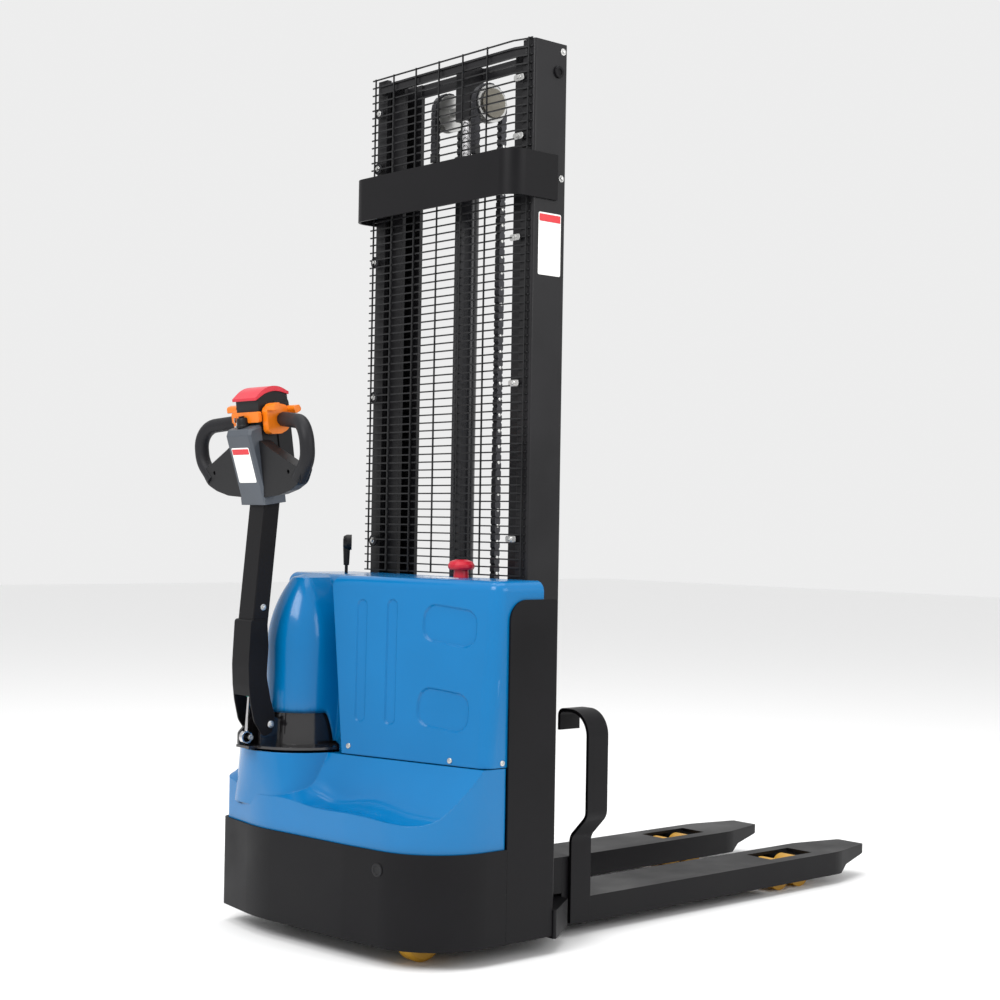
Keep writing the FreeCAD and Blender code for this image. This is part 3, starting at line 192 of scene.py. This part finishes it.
paint("blue", "hood_lower", "hood_upper")
paint("steel", "side_panels", "skirt", "chassis_frame", "leg_base", "leg_left", "leg_right",
      "fork_left", "fork_right", "side_guards", "fork_carriage", "name_band", "tiller_housing",
      "tiller_arm", "drive_unit", "battery")
paint("mast", "mast_outer_left", "mast_outer_right", "mast_outer_beams", "mast_inner_left",
      "mast_inner_right", "mast_inner_ties")
paint("wire", "mesh_guard")
paint("cylinder", "lift_cylinder")
paint("chain", "chain_anchor_falls", "chain_carriage_falls", "chain_wraps")
paint("pulley", "chain_pulleys")
paint("chrome", "lift_rod", "gas_spring_rod")
paint("zinc", "caster_fork")
paint("teal", "gas_spring_tube")
paint("red", "emergency_stop", "belly_button")
paint("black", "charger_plug", "tiller_head")
paint("rubber", "tiller_grips")
paint("orange", "throttle")
paint("grey", "control_box")
paint("gloss", "steer_drum")
paint("tyre", "drive_wheel")
ROLLERS = ("load_roller_front_left", "load_roller_rear_left", "load_roller_front_right",
           "load_roller_rear_right")
paint("tread", "caster_wheel", *ROLLERS)


# ------------------------------------------------------------------ small pieces
def surface(node, start, aim):
    """Where a line from start along aim first meets a node, and the surface's direction there."""
    tree = BVHTree.FromObject(nodes[node], bpy.context.evaluated_depsgraph_get())
    place, normal, _, _ = tree.ray_cast(start, Vector(aim).normalized())
    if place is None:
        raise RuntimeError("nothing of " + node + " lies that way")
    if normal.dot(Vector(aim)) > 0:
        normal = -normal
    return place, normal


def frame_at(place, normal, up=(0, 0, 1)):
    """A matrix whose z axis leaves the surface and whose y axis is as near to up as can be."""
    z = Vector(normal).normalized()
    x = Vector(up).cross(z)
    if x.length < 0.1:
        x = Vector((0, 1, 0)).cross(z)
    x.normalize()
    m = Matrix((x, z.cross(x), z)).transposed().to_4x4()
    m.translation = place
    return m


def lathe(bm, profile, sides, matrix, turn=0.0):
    """A turned form of (radius, height) in millimetres, closed at both ends."""
    rings = []
    for r, h in profile:
        ring = []
        for k in range(sides):
            a = turn + 2 * math.pi * k / sides
            ring.append(bm.verts.new(matrix @ (Vector((r * math.cos(a), r * math.sin(a), h)) / 1000.0)))
        rings.append(ring)
    for low, high in zip(rings, rings[1:]):
        for k in range(sides):
            n = (k + 1) % sides
            bm.faces.new((low[k], low[n], high[n], high[k]))
    bm.faces.new(list(reversed(rings[0])))
    bm.faces.new(rings[-1])


def slab(bm, width, height, thick, matrix, corner=3.0, base=-0.3, shift=(0, 0)):
    """A thin plate with rounded corners, in millimetres, lying on the matrix's own plane."""
    outline = []
    for sx, sy, start in ((1, 1, 0), (-1, 1, 90), (-1, -1, 180), (1, -1, 270)):
        for k in range(5):
            a = math.radians(start + 22.5 * k)
            outline.append((shift[0] + sx * (width / 2 - corner) + corner * math.cos(a),
                            shift[1] + sy * (height / 2 - corner) + corner * math.sin(a)))
    rings = []
    for z, inset in ((base, 0.0), (thick * 0.7, 0.0), (thick, 0.3)):
        ring = []
        for x, y in outline:
            fx = 1 - 2 * inset / width
            fy = 1 - 2 * inset / height
            ring.append(bm.verts.new(matrix @ (Vector((x * fx, y * fy, z)) / 1000.0)))
        rings.append(ring)
    count = len(outline)
    for low, high in zip(rings, rings[1:]):
        for k in range(count):
            n = (k + 1) % count
            bm.faces.new((low[k], low[n], high[n], high[k]))
    bm.faces.new(list(reversed(rings[0])))
    bm.faces.new(rings[-1])


def piece_mesh(name, bm, material):
    """Make one object of a bmesh, with its material."""
    bmesh.ops.recalc_face_normals(bm, faces=bm.faces)
    mesh = bpy.data.meshes.new(name)
    bm.to_mesh(mesh)
    bm.free()
    for face in mesh.polygons:
        face.use_smooth = True
    mesh.set_sharp_from_angle(angle=math.radians(35))
    ob = bpy.data.objects.new(name, mesh)
    bpy.context.collection.objects.link(ob)
    mesh.materials.append(M[material])
    return ob


def piece(name, bm, material, body):
    """A piece made of a bmesh that rides on one body."""
    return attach(piece_mesh(name, bm, material), body)


CHAIN_PITCH = 0.0381          # two links of the lift chain, in metres
# half outlines of a washer and a bolt's head: radius as a share of the size, height in mm
WASHER = [(1.0, -0.3), (1.0, 1.2), (0.93, 1.6), (0.4, 1.6)]
HEAD = [(0.62, 1.2), (0.62, 4.6), (0.54, 5.6), (0.3, 5.9)]


def bolt(bm, matrix, size, tall=1.0):
    """A hexagon head on its washer, size being the washer's radius in millimetres."""
    lathe(bm, [(r * size, h) for r, h in WASHER], 28, matrix)
    lathe(bm, [(r * size, h * tall) for r, h in HEAD], 6, matrix, 0.2)


def socket_screw(bm, matrix, size):
    """A domed screw head with a sunk drive."""
    lathe(bm, [(size, -0.4), (size, 1.2), (size * 0.86, 2.4), (size * 0.52, 3.0), (size * 0.46, 2.9),
               (size * 0.40, 1.4), (size * 0.1, 1.2)], 24, matrix)


def guard_clips():
    """The zinc clips that hold the mesh guard to the right upright, and the washers on the left."""
    zinc = bmesh.new()
    dark = bmesh.new()
    bolts = bmesh.new()
    for y, z in ((-252, 1993), (-252, 1858), (-247, 1625), (-250, 1289), (-249, 931)):
        m = frame_at(at(-9.5, y, z), (-1, 0, 0))
        slab(zinc, 34, 15, 1.8, m, 5.0)
        bolt(bolts, m @ Matrix.Translation((0, 0, 0.0016)), 7.0, 0.9)
    for y, z in ((272, 1995), (275, 1856), (282, 1620), (276, 1279), (270, 919)):
        m = frame_at(at(-9.0, y, z), (-1, 0, 0))
        lathe(dark, [(14.5, -0.4), (14.5, 2.0), (13.5, 2.6), (6, 2.6)], 36, m)
        bolt(bolts, m @ Matrix.Translation((0, 0, 0.0024)), 7.5, 0.9)
    piece("guard_clips_right", zinc, "zinc", "chassis")
    piece("guard_washers_left", dark, "rubber", "chassis")
    piece("guard_bolts", bolts, "zinc", "chassis")


def mast_fittings():
    """Bolts, the round boss and the blank warning plate on the right upright."""
    boss = bmesh.new()
    place, normal = surface("mast_outer_right", at(73.5, -420, 2012.6), (0, 1, 0))
    m = frame_at(place, normal)
    lathe(boss, [(14, -0.4), (14, 4.6), (12.6, 6.0), (7.5, 6.0), (7.0, 3.2), (2, 3.0)], 40, m)
    piece("mast_boss", boss, "steel", "chassis")
    bolts = bmesh.new()
    for x, z in ((88, 2062), (88, 1767)):
        place, normal = surface("mast_outer_right", at(x, -420, z), (0, 1, 0))
        bolt(bolts, frame_at(place, normal), 8.0)
    piece("mast_bolts", bolts, "zinc", "chassis")
    place, normal = surface("mast_outer_right", at(54, -420, 1611), (0, 1, 0))
    m = frame_at(place, normal)
    plate = bmesh.new()
    slab(plate, 70, 144, 0.5, m, 4.0)
    piece("mast_label_plate", plate, "label", "chassis")
    stripe = bmesh.new()
    slab(stripe, 66, 15, 0.75, m, 1.5, 0.2, (0, 61))
    piece("mast_label_stripe", stripe, "label_red", "chassis")


def hood_fittings():
    """Silver screws along the covers' seam and the blank strip on the hood's top."""
    screws = bmesh.new()
    for start, aim in ((at(-131, -460, 440), (0, 1, 0)), (at(-300, -272, 440), (1, 0, 0)),
                       (at(-360, 13, 448), (1, 0, 0))):
        place, normal = surface("hood_upper", start, aim)
        socket_screw(screws, frame_at(place, normal), 6.5)
    piece("hood_screws", screws, "zinc", "chassis")
    place, normal = surface("hood_upper", at(-107, -118, 900), (0, 0, -1))
    strip = bmesh.new()
    slab(strip, 24, 104, 0.5, frame_at(place, normal, (0, 1, 0)), 3.0)
    piece("hood_label_strip", strip, "label", "chassis")
    place, normal = surface("skirt", at(-460, -217, 209), (1, 0, 0))
    ring = bmesh.new()
    lathe(ring, [(15, -0.5), (15, 1.6), (13, 2.4), (10.5, 2.0), (9.5, 0.6), (1.5, 0.4)], 36,
          frame_at(place, normal))
    piece("skirt_plug", ring, "black", "chassis")


def on_head(s, h, d):
    """A point of the tilted control head: to its left, up its axis and ahead of it."""
    return at(-375.9 - 0.1478 * h - 0.989 * d, 212 + s, 1001.6 + 0.989 * h - 0.1478 * d)


HEAD_UP = (-0.1478, 0, 0.989)
HEAD_AHEAD = (-0.989, 0, -0.1478)


def head_fittings():
    """The key switch's knob, its key and the blank plate with its red stripe."""
    down = tuple(-v for v in HEAD_UP)
    back = tuple(-v for v in HEAD_AHEAD)
    place, normal = surface("control_box", on_head(5, 260, 31), down)
    m = frame_at(place, HEAD_UP, HEAD_AHEAD)
    knob = bmesh.new()
    lathe(knob, [(17, -1.5), (17, 3.5), (15.5, 5.0), (15.0, 17.0), (13.4, 20.5), (6, 22.0)], 40, m)
    slab(knob, 6, 22, 25, m, 2.0, 18.0)
    piece("key_knob", knob, "black", "tiller")
    key = bmesh.new()
    place, normal = surface("control_box", on_head(32, 260, 31), down)
    m = frame_at(place, HEAD_UP, HEAD_AHEAD)
    lathe(key, [(6.5, -1.0), (6.5, 2.5), (5.2, 3.4), (2.2, 3.4), (2.2, 12.0), (1.0, 12.4)], 24, m)
    slab(key, 2.4, 15, 22, m, 1.0, 11.0)
    piece("ignition_key", key, "zinc", "tiller")
    place, normal = surface("control_box", on_head(0, 98, 140), back)
    m = frame_at(place, normal, HEAD_UP)
    plate = bmesh.new()
    slab(plate, 72, 84, 0.6, m, 4.0)
    piece("head_label_plate", plate, "label", "tiller")
    stripe = bmesh.new()
    slab(stripe, 68, 12, 0.85, m, 1.5, 0.2, (0, 33))
    piece("head_label_stripe", stripe, "label_red", "tiller")


def tiller_fittings():
    """Silver bolts through the tiller's housing."""
    bolts = bmesh.new()
    place, normal = surface("tiller_arm", at(-395, 60, 762), (0, 1, 0))
    bolt(bolts, frame_at(place, normal), 7.5)
    piece("tiller_bolt", bolts, "zinc", "tiller")
    pin = bmesh.new()
    place, normal = surface("steer_drum", at(-373, 60, 489), (0, 1, 0))
    bolt(pin, frame_at(place, normal), 8.5)
    piece("tiller_pivot_bolt", pin, "zinc", "steering_head")
    eye = bmesh.new()
    place, normal = surface("steer_drum", at(-409, 150, 458), (0, 1, 0))
    lathe(eye, [(7.0, -0.4), (7.0, 3.4), (6.2, 4.4), (3.4, 4.4), (3.0, 2.6), (0.8, 2.4)], 6,
          frame_at(place, normal), 0.3)
    piece("spring_eye_bolt", eye, "zinc", "steering_head")


def pulley_faces():
    """Turned faces on the chain pulleys."""
    low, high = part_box("chain_pulleys")
    middle = (Vector(low) + Vector(high)) / 2
    radius = (high[2] - low[2]) * 500.0
    faces = bmesh.new()
    for y, side in ((low[1], -1), (high[1], 1)):
        m = frame_at(Vector((middle.x, y, middle.z)), (0, side, 0))
        lathe(faces, [(radius * 0.78, -0.6), (radius * 0.78, 0.5), (radius * 0.70, 1.2),
                      (radius * 0.42, 0.8), (radius * 0.38, 1.9), (radius * 0.16, 1.9)], 48, m)
    piece("pulley_faces", faces, "cream", "chain_pulleys")


def wheel_hubs():
    """Bearing caps on the small wheels' faces."""
    for name in ROLLERS:
        low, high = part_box(name)
        middle = (Vector(low) + Vector(high)) / 2
        hubs = bmesh.new()
        for y, side in ((low[1], -1), (high[1], 1)):
            m = frame_at(Vector((middle.x, y, middle.z)), (0, side, 0))
            lathe(hubs, [(15, -0.8), (15, 0.3), (13, 0.8), (7, 0.8), (6.4, 0.2), (1.0, 0.2)], 32, m)
        piece(name + "_hubs", hubs, "zinc", name)


def chain_pins():
    """The ends of the chain's pins, one to each second link, down both falls to the carriage."""
    spots = [nodes["chain_carriage_falls"].matrix_world @ v.co
             for v in nodes["chain_carriage_falls"].data.vertices]
    pins = bmesh.new()
    for side in (-1, 1):
        mine = [p for p in spots if (p.y - SHIFT.y) * side > 0]
        x = (min(p.x for p in mine) + max(p.x for p in mine)) / 2
        low, high = min(p.z for p in mine), max(p.z for p in mine)
        high = min(high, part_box("chain_pulleys")[0][2] - 0.01)
        count = int((high - low) / CHAIN_PITCH)
        for k in range(count):
            z = low + CHAIN_PITCH * (k + 0.5)
            for y, way in ((min(p.y for p in mine), -1), (max(p.y for p in mine), 1)):
                lathe(pins, [(4.2, -0.6), (4.2, 0.5), (3.2, 1.1)], 10,
                      frame_at(Vector((x, y, z)), (0, way, 0)))
    ends = piece_mesh("chain_pin_ends", pins, "zinc")
    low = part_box("chain_carriage_falls")[0]
    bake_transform(ends)


guard_clips()
mast_fittings()
hood_fittings()
head_fittings()
tiller_fittings()
pulley_faces()
wheel_hubs()
chain_pins()


# ------------------------------------------------------------------ floor, light and camera
def stage_floor():
    bpy.ops.mesh.primitive_plane_add(size=40, location=(0, 0, 0))
    floor = bpy.context.object
    floor.name = "studio_floor"
    m, nt, shader = new_material("studio_floor")
    shader.inputs["Base Color"].default_value = (0.93, 0.93, 0.93, 1)
    shader.inputs["Roughness"].default_value = 0.75
    floor.data.materials.append(m)


def area_light(name, place, aim, size, power, colour=(1, 1, 1)):
    data = bpy.data.lights.new(name, "AREA")
    data.shape = "RECTANGLE"
    data.size, data.size_y = size
    data.energy = power
    data.color = colour
    ob = bpy.data.objects.new(name, data)
    bpy.context.collection.objects.link(ob)
    ob.location = place
    ob.rotation_euler = (Vector(aim) - Vector(place)).to_track_quat("-Z", "Y").to_euler()
    return ob


def studio():
    stage_floor()
    world = bpy.data.worlds.new("studio_world")
    bpy.context.scene.world = world
    world.use_nodes = True
    back = world.node_tree.nodes["Background"]
    back.inputs["Color"].default_value = (1, 1, 1, 1)
    back.inputs["Strength"].default_value = 0.85
    area_light("key_light", (-4.5, -1.0, 4.2), (-0.4, 0, 1.0), (2.5, 2.5), 170)
    area_light("fill_light", (1.0, -4.5, 2.5), (-0.2, 0, 0.9), (3.0, 2.0), 60)
    area_light("top_light", (0.0, 0.0, 5.0), (0.0, 0, 0.0), (4.0, 4.0), 120)


def camera():
    """The viewing angle: 48.5 degrees round, level with the hood's top, with a slight roll."""
    yaw, pitch, roll = math.radians(48.52), math.radians(0.82), math.radians(0.95)
    look = Vector((math.cos(yaw) * math.cos(pitch), math.sin(yaw) * math.cos(pitch), math.sin(pitch)))
    side = Vector((math.sin(yaw), -math.cos(yaw), 0.0))
    up = side.cross(look)
    right = side * math.cos(roll) + up * math.sin(roll)
    top = up * math.cos(roll) - side * math.sin(roll)
    data = bpy.data.cameras.new("view")
    data.sensor_width = 36.0
    data.lens = 1759.6 * 36.0 / 1000.0
    ob = bpy.data.objects.new("view", data)
    bpy.context.collection.objects.link(ob)
    m = Matrix((right, top, -look)).transposed().to_4x4()
    m.translation = at(-2703.2, -3256.6, 962.4)
    ob.matrix_world = m
    bpy.context.scene.camera = ob


studio()
camera()
bpy.context.scene.view_settings.view_transform = "Standard"
